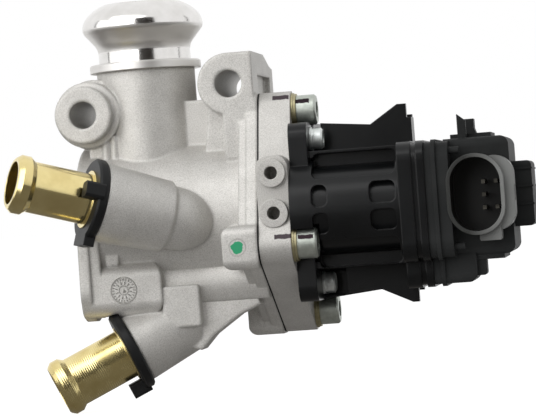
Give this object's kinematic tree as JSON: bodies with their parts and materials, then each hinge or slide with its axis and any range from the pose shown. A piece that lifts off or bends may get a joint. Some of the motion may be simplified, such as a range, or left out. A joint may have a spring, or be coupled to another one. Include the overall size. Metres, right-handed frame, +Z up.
{
  "type": "egr valve",
  "caption": "Electric exhaust gas recirculation valve: cast housing with flange, outlet nozzle and brass coolant pipes, and a plastic actuator with a geared motor.",
  "frame": {"origin": "centre of the gas inlet port, on the face of the inlet flange", "axes": "+X along the valve stem towards the actuator, +Z up along the outlet nozzle, +Y towards the engine"},
  "size_m": [0.1677, 0.1005, 0.1342],
  "materials": {
    "cast_aluminium": "fine blasted die-cast",
    "machined_aluminium": "cast and machined",
    "turned_nozzle": "bright turned",
    "brass": "turned",
    "collar_plastic": "moulded",
    "gasket": "matte",
    "zinc_steel": "zinc plated",
    "yellow_zinc": "yellow zinc",
    "black_plastic": "glass filled, matte",
    "connector_plastic": "moulded",
    "connector_pins": "tinned",
    "steel": "ground",
    "bronze": "sintered",
    "gear_plastic": "moulded",
    "pinion_steel": "sintered",
    "magnet": "sintered",
    "circuit_board": "lacquered"
  },
  "bodies": {
    "valve": {"valve_housing": "cast_aluminium", "actuator_carrier": "machined_aluminium", "outlet_nozzle": "turned_nozzle", "upper_water_pipe": "brass", "lower_water_pipe": "brass", "upper_pipe_collar": "collar_plastic", "lower_pipe_collar": "collar_plastic", "carrier_gasket": "gasket", "actuator_seal": "gasket", "stem_seal": "gasket", "carrier_bolts": "zinc_steel", "actuator_screws": "zinc_steel", "actuator_screw_washers": "zinc_steel", "carrier_bolt_washers": "yellow_zinc", "actuator_housing": "black_plastic", "gear_cover": "black_plastic", "sensor_cap": "black_plastic", "connector_shroud": "connector_plastic", "connector_pins": "connector_pins", "valve_seat_ring": "steel", "spring_seat": "steel", "output_gear_pin": "steel", "idler_pin": "steel", "motor_can": "steel", "return_spring": "steel", "stem_guide": "bronze", "motor_bushes": "bronze", "motor_end_cap": "gear_plastic", "motor_magnets": "magnet", "motor_brushes": "magnet", "sensor_board": "circuit_board"},
    "stem": {"valve_stem": "steel", "valve_poppet": "steel", "spring_retainer": "steel", "cross_pin": "steel"},
    "rotor": {"motor_shaft": "steel", "motor_armature": "magnet", "motor_commutator": "bronze", "motor_pinion": "pinion_steel"},
    "idler": {"idler_gear": "gear_plastic"},
    "output": {"output_gear": "gear_plastic", "sensor_magnet": "magnet"}
  },
  "joints": [
    {"name": "stem_slide", "type": "slide", "parent": "valve", "child": "stem", "axis": [1, 0, 0], "range_m": [0, 0.006], "stiffness_N_per_m": 800, "springref_m": -0.01, "deforming": ["return_spring"]},
    {"name": "motor_spin", "type": "hinge", "parent": "valve", "child": "rotor", "pos_m": [0.1, -0.023, 0], "axis": [-1, 0, 0], "range_deg": [0, 1243.64]},
    {"name": "idler_spin", "type": "hinge", "parent": "valve", "child": "idler", "pos_m": [0.115, -0.01468, -0.01175], "axis": [1, 0, 0], "range_deg": [0, 327.28]},
    {"name": "output_turn", "type": "hinge", "parent": "valve", "child": "output", "pos_m": [0.115, 0, 0], "axis": [-1, 0, 0], "range_deg": [0, 100]}
  ],
  "couplings": [
    {"joint": "motor_spin", "follows": "stem_slide", "rad_per_m": 3617.6},
    {"joint": "idler_spin", "follows": "stem_slide", "rad_per_m": 952},
    {"joint": "output_turn", "follows": "stem_slide", "rad_per_m": 290.89}
  ]
}
